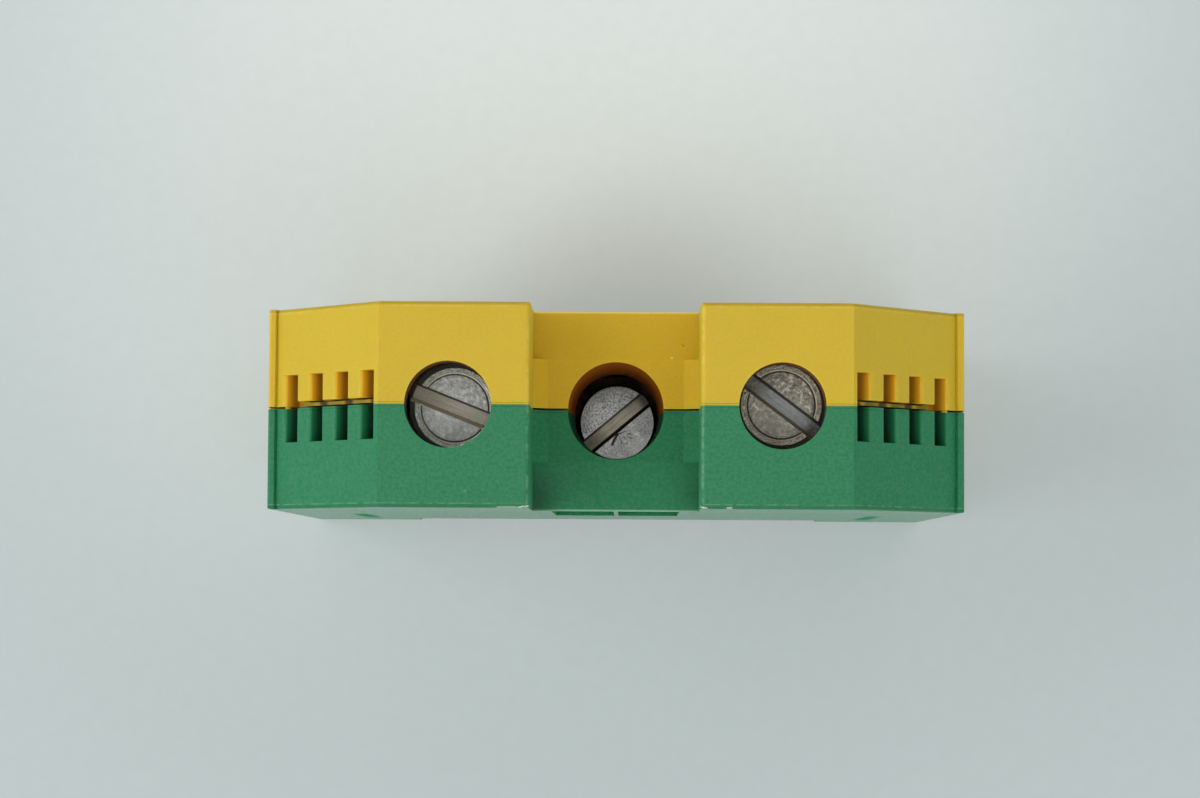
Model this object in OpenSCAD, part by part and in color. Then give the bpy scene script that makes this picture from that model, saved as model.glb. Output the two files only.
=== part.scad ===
// Screw-clamp earth terminal block for a top-hat rail.
// Two moulded half shells meet on the plane Y = 0 and hold a formed current bar,
// two rising clamp yokes with their screws, and a screwed rail clamp.
// X runs along the wires, Y along the rail and Z up. The origin is the middle of the base.

/* [Housing] */
// Width of the housing along the rail, both shells together
block_w = 16; // [15:0.1:20]
// Thickness of the shells' side walls
wall = 1.6; // [1.2:0.1:2.2]
// Thickness of the roof over each clamp
roof_t = 2.6; // [1.6:0.1:3.6]
// Radius of the rounded outer edges
edge_r = 0.35; // [0.2:0.05:0.6]
// Plastic between the rail foot and the clamp pockets
pocket_floor_t = 3.55; // [2.5:0.05:5]
// Walls round the hollow in each leg
leg_wall = 1.5; // [1:0.1:2]

/* [Towers and valley] */
// From a clamp screw's axis to the valley wall of its tower
tower_in = 6.3; // [5.8:0.1:6.8]
// From a clamp screw's axis to the outer break of its tower
tower_out = 5.45; // [5.2:0.05:6]
// Depth of the valley below the tower tops
valley_drop = 8.6; // [6:0.1:11]
// Width of the level strip along the valley floor
valley_flat_w = 8.2; // [8:0.1:12]
// Fall of the valley floor from the level strip to the side faces
valley_fall = 1; // [0.4:0.1:2]
// Length of the ramped pad at the foot of each tower
pad_l = 1.25; // [0.8:0.05:2]
// Rise of the pads from the valley floor to the tower's wall
pad_h = 0.8; // [0.3:0.05:1.2]
// Open seam between the shells in the valley and at the ends
seam_w = 0.16; // [0.05:0.01:0.25]
// Depth of the open seam
seam_depth = 0.8; // [0.4:0.1:1.5]
// Diameter of the hole over each clamp screw
tower_hole_d = 6.75; // [6:0.05:7.5]
// Diameter of the well over the rail screw, at the valley floor
well_d = 7.66; // [7.2:0.02:8.4]
// Diameter of the throat that the well narrows to
throat_d = 6.85; // [6.7:0.05:7.1]
// From the rail screw's head up to the throat
throat_gap = 10.6; // [6:0.1:14]

/* [Shoulders and marker combs] */
// Angle of the shoulders below the level
shoulder_angle = 46; // [35:0.5:55]
// Number of marker slots on each shoulder
slot_count = 4; // [2:1:6]
// Width of a marker slot along the shoulder
slot_w = 1.61; // [1.2:0.01:2]
// Distance from slot to slot along the shoulder
slot_pitch = 3.17; // [2.6:0.01:3.8]
// Length of a marker slot across both shells
slot_l = 5.4; // [4.5:0.1:6.5]
// Depth of a marker slot, square to the shoulder
slot_depth = 1.4; // [0.8:0.05:1.4]
// Radius of the outer edge of a marker slot
slot_r = 0.27; // [0.1:0.01:0.4]
// From the tower's break to the first slot, along the shoulder
slot_inset = 0.43; // [0.3:0.01:1]
// Thickness of the low web along the parting line in the yellow comb
web_t = 0.28; // [0.2:0.01:0.6]
// Depth of that web's top below the shoulder
web_drop = 0.7; // [0.2:0.05:0.9]
// Gap between the web and the yellow teeth
web_gap = 0.12; // [0.06:0.01:0.2]
// Depth of the gaps beside the web
web_gap_depth = 1.3; // [1:0.05:1.4]
// Land between the last slot and the end lip
end_land = 0.78; // [0.5:0.02:2]
// Thickness of the end lip at its root
lip_t = 0.65; // [0.5:0.05:1]
// Height of the end lip above the shoulder's low end
lip_h = 0.3; // [0.2:0.05:1]
// How far the inner side of the end lip leans outwards
lip_lean = 0.15; // [0.05:0.05:0.3]
// Radius of the rounded edges of the end faces
lip_r = 0.2; // [0.1:0.05:0.2]

/* [Side faces] */
// Width of the recess in each side face
recess_w = 10.3; // [6:0.1:12]
// Height of the recess
recess_h = 17; // [10:0.1:18]
// Depth of the recess
recess_depth = 0.8; // [0.4:0.1:1.2]
// Strip of wall left between the valley's edge and the recess
recess_lip = 1; // [0.6:0.1:3]
// Thickness of the rib down the middle of the recess
recess_rib = 0.35; // [0.25:0.05:0.8]
// Diameter of the pegs that join the shells
peg_d = 1.7; // [1.4:0.1:2.2]
// From the end face to the peg's axis
peg_inset = 6.05; // [5:0.05:6.5]
// From the wire entry's wall down to the peg's axis
peg_drop = 2.55; // [2:0.05:3]
// Depth of a peg's end below the side face
peg_end_depth = 0.6; // [0.3:0.1:1]

/* [Wire entries] */
// Diameter of the wire entries
wire_d = 9.5; // [8:0.1:10.5]
// Length of the funnel at the mouth of a wire entry
funnel_l = 2.5; // [1:0.1:4]
// How far the funnel opens past the wire entry on each side
funnel_flare = 0.9; // [0.4:0.1:1.4]

/* [Clamps] */
// Length of a yoke along the wire
yoke_l = 8.6; // [8:0.1:9.4]
// Thickness of a yoke's sides
yoke_side = 1.5; // [1.2:0.1:2]
// Thickness of a yoke's floor
yoke_floor_t = 2.4; // [1.8:0.1:3.2]
// Thickness of a yoke's threaded top
yoke_top_t = 4; // [3:0.1:5]
// Radius of a yoke's corners
yoke_r = 1; // [0.5:0.1:1.2]
// Number of gripping ridges on a yoke's floor
grip_count = 5; // [3:1:7]
// Height of the gripping ridges
grip_h = 0.3; // [0.2:0.05:0.5]
// Thread diameter of the clamp screws
clamp_thread_d = 6; // [5:0.1:6]
// Thread pitch of the clamp screws
clamp_pitch = 1; // [0.7:0.05:1.25]
// Turns of a clamp screw from open to closed
clamp_turns = 7; // [5:0.5:8]
// Head diameter of the clamp screws
clamp_head_d = 7.1; // [6.8:0.05:7.4]
// Bevel at the edge of a clamp screw's head
clamp_head_bevel = 0.4; // [0.2:0.05:0.5]
// Head height of the clamp screws
clamp_head_h = 3; // [2.4:0.1:4]
// Diameter of the ring groove in a clamp screw's head
ring_d = 5.25; // [4.6:0.05:5.5]
// Width of the ring groove's floor
ring_w = 0.12; // [0.08:0.02:0.2]
// How far the outer flank of the ring groove leans outwards
ring_lean = 0.14; // [0.05:0.01:0.2]
// Depth of the ring groove
ring_depth = 0.25; // [0.1:0.05:0.5]
// Play of a clamp along the wire, each side
clamp_play_x = 0.6; // [0.5:0.05:0.8]
// Play of a clamp across the wire, each side
clamp_play_y = 0.3; // [0.25:0.05:0.5]
// Where the left clamp rests in its play along the wire
left_rest_x = 0.4; // [-0.45:0.05:0.45]
// Where the left clamp rests in its play across the wire
left_rest_y = -0.15; // [-0.2:0.05:0.2]
// Where the right clamp rests in its play along the wire
right_rest_x = 0; // [-0.45:0.05:0.45]
// Where the right clamp rests in its play across the wire
right_rest_y = 0.2; // [-0.2:0.05:0.2]
// Direction of the left screw's slot
left_slot_angle = -21.5; // [-90:0.5:90]
// Direction of the right screw's slot
right_slot_angle = -37; // [-90:0.5:90]

/* [Current bar] */
// Thickness of the bar
bar_t = 3; // [2.4:0.1:3.6]
// Clear width between the bar's legs
bar_web_w = 10; // [9.6:0.1:11]
// Inside radius of the bar's bends
bar_bend_r = 0.9; // [0.5:0.1:0.9]
// Gap between a bar's leg and the yoke beside it
bar_gap = 0.65; // [0.6:0.05:1]
// Gap between the bar's edges and a yoke's sides
bar_play = 0.3; // [0.25:0.05:0.5]
// How far the bar's arms run past the yokes
bar_over = 0.7; // [0.4:0.1:1.2]

/* [Rail clamp] */
// Width of the rail
rail_w = 35; // [32:0.5:37]
// Thickness of the rail's flanges
flange_t = 1; // [0.8:0.1:1.5]
// Height of the rail's top above the base of the block
rail_seat_z = 6; // [5.6:0.1:7]
// Play of the rail between the jaws, each side
rail_play = 0.7; // [0.4:0.1:1]
// Reach of the jaws under the rail's flanges
jaw_reach = 1.8; // [1.2:0.1:2.4]
// Thickness of the jaws
jaw_t = 2; // [1.6:0.1:2.4]
// Thickness of the rail foot's sheet
foot_t = 2; // [1.5:0.1:2.5]
// Thickness of the rail foot's cheeks
cheek_t = 1.5; // [1.2:0.1:1.8]
// Thickness of the claw's plate
claw_t = 2.8; // [2.2:0.1:3.4]
// Gap between the open claw and the rail's top
claw_gap = 0.4; // [0.3:0.1:1]
// Thread diameter of the rail screw
rail_thread_d = 4; // [3.5:0.1:4.2]
// Thread pitch of the rail screw
rail_pitch = 0.7; // [0.5:0.05:0.8]
// Turns of the rail screw from open to clamped
rail_turns = 3; // [2:0.5:4]
// Head diameter of the rail screw
rail_head_d = 6.6; // [6.2:0.1:6.8]
// Bevel at the edge of the rail screw's head
rail_head_bevel = 0.17; // [0.1:0.01:0.4]
// Head height of the rail screw
rail_head_h = 4.2; // [2.6:0.1:4.5]
// Direction of the rail screw's slot
rail_slot_angle = 40; // [-90:0.5:90]
// Length of thread below the open claw
rail_tip_l = 2.5; // [1:0.1:3]
// Diameter of the split washer
lock_washer_d = 6.2; // [5.8:0.1:6.6]
// Thickness of the split washer
lock_washer_t = 1; // [0.6:0.1:1.2]
// Width of the split in that washer
lock_split = 0.5; // [0.3:0.1:1]

/* [Screw slots and clearances] */
// Width of the screwdriver slots at the top
driver_w = 1.44; // [1.2:0.02:1.6]
// How far the slots' sound wall leans out
driver_lean = 0.1; // [0.04:0.01:0.15]
// How far the slots' worn wall leans out
driver_worn_lean = 0.36; // [0.1:0.02:0.4]
// Depth of the screwdriver slots
driver_depth = 1.5; // [1:0.1:2]
// Chamfer at the screw tips
chamfer = 0.4; // [0.2:0.05:0.6]
// Running gap round a turning thread
thread_gap = 0.05; // [0.02:0.01:0.1]
// Clearance between a loose piece and its pocket
fit_gap = 0.3; // [0.25:0.05:0.4]
// Clearance between a located piece and its seat
seat_gap = 0.15; // [0.1:0.05:0.25]

/* [Hidden] */
$fn = 64;
eps = 0.01;
yellow = [0.80, 0.66, 0.18];
green = [0.17, 0.48, 0.32];
steel = [0.62, 0.62, 0.60];
tinned = [0.62, 0.47, 0.40];

// Widths across the block
half_w = block_w/2;
bay_hw = half_w - wall;
yoke_w = 2*(bay_hw - clamp_play_y);
yoke_window_w = yoke_w - 2*yoke_side;
bar_w = yoke_window_w - 2*bar_play;
foot_w = 2*(bay_hw - seat_gap);
claw_w = foot_w - 2*cheek_t - 2*seat_gap;

// Heights of the rail clamp, from the base up
claw_travel = rail_turns*rail_pitch;
claw_z = rail_seat_z + claw_gap;
foot_z = claw_z + claw_t + claw_travel + fit_gap;
foot_top_z = foot_z + foot_t;
web_top_z = foot_top_z + bar_t;
rail_head_z = web_top_z + lock_washer_t;
rail_head_top_z = rail_head_z + rail_head_h;
jaw_top_z = rail_seat_z - flange_t - seat_gap;
open_jaw_top_z = rail_seat_z - flange_t - claw_travel - 2*fit_gap/3;
throat_z = rail_head_top_z + throat_gap;

// Heights of the clamps, from the rail foot up
clamp_travel = clamp_turns*clamp_pitch;
pocket_z = foot_top_z + pocket_floor_t;
yoke_z = pocket_z + fit_gap;
yoke_floor_z = yoke_z + yoke_floor_t;
wire_z = yoke_floor_z + wire_d/2;
arm_z = wire_z + wire_d/2 + seat_gap;
arm_top_z = arm_z + bar_t;
yoke_window_z = arm_top_z + fit_gap;
yoke_top_z = yoke_window_z + yoke_top_t;
clamp_head_z = yoke_top_z + clamp_travel + fit_gap;
clamp_head_top_z = clamp_head_z + clamp_head_h;
roof_z = clamp_head_top_z + fit_gap;

// Heights of the housing
block_h = roof_z + roof_t;
valley_z = block_h - valley_drop;
valley_edge_z = valley_z - valley_fall;

// Places along the block
leg_x = bar_web_w/2;
leg_out_x = leg_x + bar_t;
clamp_x = leg_out_x + bar_gap + yoke_l/2;
arm_end_x = clamp_x + yoke_l/2 + bar_over;
pocket_l = yoke_l + 2*clamp_play_x;
tower_in_x = clamp_x - tower_in;
tower_out_x = clamp_x + tower_out;
comb_l = (slot_count - 1)*slot_pitch + slot_w;
comb_x = tower_out_x + slot_inset*cos(shoulder_angle);
comb_end_x = comb_x + comb_l*cos(shoulder_angle);
shoulder_end_x = comb_end_x + end_land;
end_x = shoulder_end_x + lip_t;
shoulder_slope = tan(shoulder_angle);
shoulder_end_z = block_h - (shoulder_end_x - tower_out_x)*shoulder_slope;
shoulder_l = (shoulder_end_x - tower_out_x)/cos(shoulder_angle);
lip_z = shoulder_end_z + lip_h;
jaw_x = rail_w/2 + rail_play;
jaw_out_x = jaw_x + jaw_t;
foot_bay_x = jaw_out_x + fit_gap;
peg_x = end_x - peg_inset;
peg_z = wire_z - wire_d/2 - peg_drop;
recess_z = valley_edge_z - recess_lip - recess_h;

left_clamp_pos = [-clamp_x + left_rest_x, left_rest_y];
right_clamp_pos = [clamp_x + right_rest_x, right_rest_y];

// Shared shapes

// A box centred on X = Y = 0 that stands on z
module block_at(l, w, z, h) {
    translate([-l/2, -w/2, z]) cube([l, w, h]);
}

// Repeats its children on the left side
module both_ends() {
    children();
    mirror([1, 0, 0]) children();
}

// Extrudes an outline drawn in X and Z across the block, centred on Y = 0
module across(w) {
    translate([0, w/2, 0]) rotate([90, 0, 0]) linear_extrude(w) children();
}

// What a rounded edge leaves of a square corner, with the corner at the origin
module corner_waste(r) {
    difference() {
        translate([-r, -r]) square(r + eps);
        translate([-r, -r]) circle(r);
    }
}

// Cutter that rounds an edge running along +X, with material below and behind it
module edge_cut(l, r) {
    translate([-eps, 0, 0]) rotate([90, 0, 90]) linear_extrude(l + 2*eps) corner_waste(r);
}

module rounded_rect(w, h, r) {
    translate([-w/2 + r, 0]) square([w - 2*r, h]);
    translate([-w/2, r]) square([w, h - 2*r]);
    for (x = [-w/2 + r, w/2 - r], y = [r, h - r]) translate([x, y]) circle(r);
}

// Cutter for a screwdriver slot with one worn wall, level with the head's top at Z = 0
module driver_slot(l) {
    rotate([90, 0, 90]) linear_extrude(l, center = true) polygon([
        [driver_worn_lean - driver_w/2, -driver_depth],
        [driver_w/2 - driver_lean, -driver_depth],
        [driver_w/2, 0],
        [driver_w/2, eps],
        [-driver_w/2, eps],
        [-driver_w/2, 0]
    ]);
}

// Cutter for the ring groove, level with the head's top at Z = 0
module ring_groove() {
    inner_r = ring_d/2 - ring_w/2;
    outer_r = inner_r + ring_w;
    rotate_extrude() polygon([
        [inner_r, -ring_depth],
        [outer_r, -ring_depth],
        [outer_r + ring_lean, 0],
        [outer_r + ring_lean, eps],
        [inner_r, eps]
    ]);
}

// Slotted screw standing on its head's underside, with the thread reaching down
module slotted_screw(thread_d, thread_l, head_d, head_h, head_bevel, slot_angle, ring) {
    bevel_z = head_h - head_bevel;
    difference() {
        union() {
            translate([0, 0, -thread_l]) cylinder(h = chamfer, d1 = thread_d - 2*chamfer, d2 = thread_d);
            translate([0, 0, chamfer - thread_l]) cylinder(h = thread_l - chamfer, d = thread_d);
            cylinder(h = bevel_z, d = head_d);
            translate([0, 0, bevel_z]) cylinder(h = head_bevel, d1 = head_d, d2 = head_d - 2*head_bevel);
        }
        translate([0, 0, head_h]) rotate([0, 0, slot_angle]) driver_slot(2*head_d);
        if (ring) translate([0, 0, head_h]) ring_groove();
    }
}

// Housing

module side_outline_half() {
    polygon([
        [0, rail_seat_z + seat_gap],
        [jaw_x, rail_seat_z + seat_gap],
        [jaw_x, 0],
        [end_x, 0],
        [end_x, lip_z],
        [shoulder_end_x + lip_lean, lip_z],
        [shoulder_end_x, shoulder_end_z],
        [tower_out_x, block_h],
        [tower_in_x, block_h],
        [tower_in_x, valley_z],
        [0, valley_z]
    ]);
}

module side_outline() {
    side_outline_half();
    mirror([1, 0]) side_outline_half();
}

// Cutters for the rounded edges of the half shell on the +Y side
module outer_edge_cuts() {
    both_ends() {
        translate([tower_in_x, half_w, block_h]) edge_cut(tower_out_x - tower_in_x, edge_r);
        translate([tower_out_x, half_w, block_h]) rotate([0, shoulder_angle, 0])
            edge_cut(shoulder_l, edge_r);
        translate([tower_in_x, 0, block_h]) rotate([0, 0, 90]) edge_cut(half_w, edge_r);
        translate([tower_in_x, half_w, block_h]) rotate([0, 90, 0]) rotate([90, 0, 0])
            edge_cut(block_h - valley_edge_z, edge_r);
        translate([end_x, half_w, lip_z]) rotate([0, 90, 0]) edge_cut(lip_z, lip_r);
        translate([end_x, half_w, lip_z]) rotate([0, 0, -90]) edge_cut(half_w, lip_r);
    }
}

// Cutter that lets the valley floor fall towards the side face
module valley_fall_cut() {
    translate([-tower_in_x, 0, 0]) rotate([90, 0, 90]) linear_extrude(2*tower_in_x) polygon([
        [valley_flat_w/2, valley_z],
        [half_w + eps, valley_edge_z],
        [half_w + eps, valley_z + eps],
        [valley_flat_w/2, valley_z + eps]
    ]);
}

// Ramps that rise to the foot of each tower
module valley_pads() {
    both_ends() translate([0, valley_flat_w/2, 0]) rotate([90, 0, 0]) linear_extrude(valley_flat_w/2)
        polygon([
            [tower_in_x - pad_l, valley_z - eps],
            [tower_in_x + eps, valley_z - eps],
            [tower_in_x + eps, valley_z + pad_h],
            [tower_in_x, valley_z + pad_h],
            [tower_in_x - pad_l, valley_z]
        ]);
}

// Puts its children on the right shoulder, with +X down the shoulder and +Z out of it
module on_shoulder() {
    translate([tower_out_x, 0, block_h]) rotate([0, shoulder_angle, 0]) children();
}

// Marker slots of one half, square to the shoulder, each with a rounded outer edge
module comb_cuts() {
    on_shoulder() translate([0, slot_l/2, 0]) rotate([90, 0, 0]) linear_extrude(slot_l/2 + eps)
        for (i = [0 : slot_count - 1]) translate([slot_inset + i*slot_pitch, 0]) {
            translate([0, -slot_depth]) square([slot_w, slot_depth + eps]);
            translate([slot_w, 0]) mirror([1, 0]) corner_waste(slot_r);
        }
}

// Cuts the teeth back from the parting line and leaves a low web there, clear of both combs
module comb_web_cut() {
    on_shoulder() translate([slot_inset, -eps, 0]) difference() {
        translate([0, 0, -web_gap_depth])
            cube([comb_l - slot_w, seam_w + web_t + web_gap + eps, web_gap_depth + eps]);
        translate([-eps, seam_w + eps, -web_gap_depth - eps])
            cube([comb_l, web_t, web_gap_depth - web_drop + eps]);
    }
}

// Fills the slots up to the low web, from the first slot to the foot of the last tooth
module comb_web() {
    on_shoulder() translate([slot_inset - eps, seam_w, -slot_depth - eps])
        cube([comb_l - slot_w + eps, web_t, slot_depth - web_drop + eps]);
}

module side_recess() {
    translate([0, half_w - recess_depth, recess_z]) difference() {
        translate([-recess_w/2, 0, 0]) cube([recess_w, recess_depth + eps, recess_h]);
        translate([-recess_rib/2, -eps, -eps]) cube([recess_rib, recess_depth + 3*eps, recess_h + 2*eps]);
    }
}

module wire_entry() {
    translate([clamp_x, 0, wire_z]) rotate([0, 90, 0]) cylinder(h = end_x - clamp_x + eps, d = wire_d);
    translate([end_x - funnel_l, 0, wire_z]) rotate([0, 90, 0])
        cylinder(h = funnel_l + eps, d1 = wire_d, d2 = wire_d + 2*funnel_flare);
}

// Everything that is hollow between the two shells
module hollows() {
    both_ends() {
        translate([clamp_x, 0, 0]) block_at(pocket_l, 2*bay_hw, pocket_z, roof_z - pocket_z);
        translate([clamp_x, 0, roof_z - eps]) cylinder(h = roof_t + 2*eps, d = tower_hole_d);
        wire_entry();
        translate([foot_bay_x + leg_wall, -bay_hw, leg_wall])
            cube([end_x - foot_bay_x - 2*leg_wall, 2*bay_hw, foot_top_z - 2*leg_wall]);
    }
    block_at(2*foot_bay_x, 2*bay_hw, -eps, foot_top_z + eps);
    difference() {
        block_at(2*(arm_end_x + fit_gap), bar_w + 2*seat_gap, foot_top_z - eps,
                 arm_top_z - foot_top_z + seat_gap + eps);
        block_at(2*(leg_x - seat_gap), block_w, throat_z, block_h);
        both_ends() translate([leg_out_x + bar_gap/2, -half_w, 0])
            cube([end_x, block_w, arm_z - seat_gap]);
    }
    well();
}

// Half of the well, round its shell's edge of the open seam, narrowing to the throat over the rail screw
module well() {
    translate([0, seam_w/2, 0]) {
        translate([0, 0, rail_head_top_z]) cylinder(h = throat_gap + eps, d = throat_d);
        translate([0, 0, throat_z]) cylinder(h = valley_z - throat_z, d1 = throat_d, d2 = well_d);
        translate([0, 0, valley_z - eps]) cylinder(h = valley_drop, d = well_d);
    }
}

// The half shell on the +Y side, without its comb and pegs
module half_shell() {
    difference() {
        union() {
            difference() {
                translate([0, half_w, 0]) rotate([90, 0, 0]) linear_extrude(half_w) side_outline();
                valley_fall_cut();
                outer_edge_cuts();
            }
            valley_pads();
        }
        hollows();
        side_recess();
    }
}

module peg_place() {
    both_ends() translate([peg_x, 0, peg_z]) rotate([90, 0, 0]) children();
}

module yellow_half_shell() {
    color(yellow) {
        difference() {
            half_shell();
            both_ends() {
                comb_cuts();
                comb_web_cut();
                translate([comb_end_x, -eps, shoulder_end_z - seam_depth])
                    cube([end_x, seam_w + eps, block_h]);
            }
            translate([-tower_in_x, -eps, valley_z - seam_depth])
                cube([2*tower_in_x, seam_w + eps, valley_drop/2]);
        }
        both_ends() comb_web();
        peg_place() translate([0, 0, -wall]) cylinder(h = half_w + wall - peg_end_depth, d = peg_d);
    }
}

module green_half_shell() {
    color(green) mirror([0, 1, 0]) difference() {
        half_shell();
        both_ends() comb_cuts();
        mirror([0, 1, 0]) peg_place() translate([0, 0, -eps])
            cylinder(h = half_w + 2*eps, d = peg_d + 2*thread_gap);
    }
}

// Metal parts

module bar_outline_half() {
    bend_out_r = bar_bend_r + bar_t;
    difference() {
        union() {
            translate([0, foot_top_z]) square([leg_out_x, bar_t]);
            translate([leg_x, foot_top_z]) square([bar_t, arm_top_z - foot_top_z]);
            translate([leg_x, arm_z]) square([arm_end_x - leg_x, bar_t]);
            translate([leg_x, web_top_z]) rotate(90) mirror([0, 1]) bend_fill();
            translate([leg_out_x, arm_z]) rotate(-90) mirror([0, 1]) bend_fill();
        }
        translate([leg_out_x, foot_top_z]) mirror([0, 1]) corner_waste(bend_out_r);
        translate([leg_x, arm_top_z]) mirror([1, 0]) corner_waste(bend_out_r);
    }
}

// Fills the inside of a bend, with its corner at the origin
module bend_fill() {
    difference() {
        translate([-eps, -eps]) square(bar_bend_r + eps);
        translate([bar_bend_r, bar_bend_r]) circle(bar_bend_r);
    }
}

module current_bar() {
    color(tinned) difference() {
        across(bar_w) {
            bar_outline_half();
            mirror([1, 0]) bar_outline_half();
        }
        translate([0, 0, foot_top_z - eps]) cylinder(h = bar_t + 2*eps, d = rail_thread_d + 2*fit_gap);
    }
}

// A clamp yoke round the origin's vertical axis
module clamp_yoke() {
    color(steel) difference() {
        union() {
            difference() {
                translate([-yoke_l/2, 0, 0]) rotate([90, 0, 90]) linear_extrude(yoke_l)
                    translate([0, yoke_z]) rounded_rect(yoke_w, yoke_top_z - yoke_z, yoke_r);
                translate([-yoke_l, 0, 0]) rotate([90, 0, 90]) linear_extrude(2*yoke_l)
                    translate([0, yoke_floor_z])
                        rounded_rect(yoke_window_w, yoke_window_z - yoke_floor_z, yoke_r/2);
            }
            yoke_grip();
        }
        translate([0, 0, yoke_window_z - eps])
            cylinder(h = yoke_top_t + 2*eps, d = clamp_thread_d + 2*thread_gap);
    }
}

// Ridges across a yoke's floor that grip the wire
module yoke_grip() {
    grip_w = yoke_window_w - 2*yoke_r;
    grip_step = yoke_l/(grip_count + 1);
    for (i = [1 : grip_count]) translate([i*grip_step - yoke_l/2, 0, yoke_floor_z])
        across(grip_w) polygon([[-grip_h, -eps], [grip_h, -eps], [0, grip_h]]);
}

module left_clamp_yoke() {
    translate(left_clamp_pos) clamp_yoke();
}

module right_clamp_yoke() {
    translate(right_clamp_pos) clamp_yoke();
}

// A clamp screw round the origin's vertical axis, with its tip on the bar's arm
module clamp_screw(slot_angle) {
    color(steel) translate([0, 0, clamp_head_z])
        slotted_screw(clamp_thread_d, clamp_head_z - arm_top_z - thread_gap,
                      clamp_head_d, clamp_head_h, clamp_head_bevel, slot_angle, true);
}

module left_clamp_screw() {
    translate(left_clamp_pos) clamp_screw(left_slot_angle);
}

module right_clamp_screw() {
    translate(right_clamp_pos) clamp_screw(right_slot_angle);
}

// Inverted channel on the rail's flanges, with the fixed jaw at the left end
module rail_foot() {
    open_end_x = jaw_x - fit_gap;
    color(steel) difference() {
        union() {
            translate([-jaw_out_x, -foot_w/2, foot_z]) cube([jaw_out_x + open_end_x, foot_w, foot_t]);
            for (side = [-1, 1]) translate([-jaw_x, side*(foot_w - cheek_t)/2 - cheek_t/2, rail_seat_z])
                cube([jaw_x + open_end_x, cheek_t, foot_z - rail_seat_z + eps]);
            across(claw_w) jaw_outline(jaw_top_z, foot_z + eps);
        }
        translate([0, 0, foot_z - eps]) cylinder(h = foot_t + 2*eps, d = rail_thread_d + 2*fit_gap);
    }
}

// Hooked jaw on the left, from its hook's top up to a plate at top_z
module jaw_outline(hook_z, top_z) {
    translate([-jaw_out_x, hook_z - jaw_t]) square([jaw_t, top_z - hook_z + jaw_t]);
    difference() {
        translate([-jaw_out_x, hook_z - jaw_t]) square([jaw_t + rail_play + jaw_reach, jaw_t]);
        translate([rail_play + jaw_reach - jaw_x, hook_z - jaw_t]) mirror([0, 1]) corner_waste(jaw_t/2);
    }
}

// Moving jaw at the right end, drawn up inside the foot's channel
module rail_claw() {
    color(steel) difference() {
        union() {
            translate([-claw_w/2, -claw_w/2, claw_z]) cube([claw_w/2 + jaw_out_x, claw_w, claw_t]);
            across(claw_w) mirror([1, 0]) jaw_outline(open_jaw_top_z, claw_z + claw_t);
        }
        translate([0, 0, claw_z - eps]) cylinder(h = claw_t + 2*eps, d = rail_thread_d + 2*thread_gap);
    }
}

module rail_screw() {
    color(steel) translate([0, 0, rail_head_z])
        slotted_screw(rail_thread_d, rail_head_z - claw_z + rail_tip_l,
                      rail_head_d, rail_head_h, rail_head_bevel, rail_slot_angle, false);
}

module rail_lock_washer() {
    split_lean = 30;
    color(steel) translate([0, 0, web_top_z]) difference() {
        cylinder(h = lock_washer_t, d = lock_washer_d);
        translate([0, 0, -eps]) cylinder(h = lock_washer_t + 2*eps, d = rail_thread_d + 2*fit_gap);
        translate([lock_washer_d/2, 0, lock_washer_t/2]) rotate([split_lean, 0, 0])
            cube([lock_washer_d, lock_split, 4*lock_washer_t], center = true);
    }
}

yellow_half_shell();
green_half_shell();
current_bar();
left_clamp_yoke();
right_clamp_yoke();
left_clamp_screw();
right_clamp_screw();
rail_foot();
rail_claw();
rail_screw();
rail_lock_washer();
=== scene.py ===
import math

import bpy
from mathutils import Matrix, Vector


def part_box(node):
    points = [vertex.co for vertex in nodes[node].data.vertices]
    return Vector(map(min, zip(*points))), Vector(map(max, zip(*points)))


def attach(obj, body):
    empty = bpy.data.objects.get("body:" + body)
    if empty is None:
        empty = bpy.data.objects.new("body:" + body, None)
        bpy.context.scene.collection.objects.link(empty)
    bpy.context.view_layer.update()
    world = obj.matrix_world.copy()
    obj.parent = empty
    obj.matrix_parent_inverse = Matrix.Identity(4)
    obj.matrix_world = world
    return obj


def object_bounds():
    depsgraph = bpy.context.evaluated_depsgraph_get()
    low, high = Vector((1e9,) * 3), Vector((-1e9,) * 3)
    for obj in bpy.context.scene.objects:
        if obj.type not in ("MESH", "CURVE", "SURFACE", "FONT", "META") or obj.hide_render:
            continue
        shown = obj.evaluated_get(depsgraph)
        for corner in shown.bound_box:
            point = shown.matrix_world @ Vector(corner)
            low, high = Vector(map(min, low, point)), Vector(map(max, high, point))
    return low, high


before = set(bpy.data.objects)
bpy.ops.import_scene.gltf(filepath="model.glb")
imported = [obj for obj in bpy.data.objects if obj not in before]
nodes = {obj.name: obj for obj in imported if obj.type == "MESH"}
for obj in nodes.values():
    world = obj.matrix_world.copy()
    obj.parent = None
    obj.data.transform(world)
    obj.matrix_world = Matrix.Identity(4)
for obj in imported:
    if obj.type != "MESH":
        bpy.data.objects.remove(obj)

CAD_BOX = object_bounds()
MM = 0.001

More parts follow.
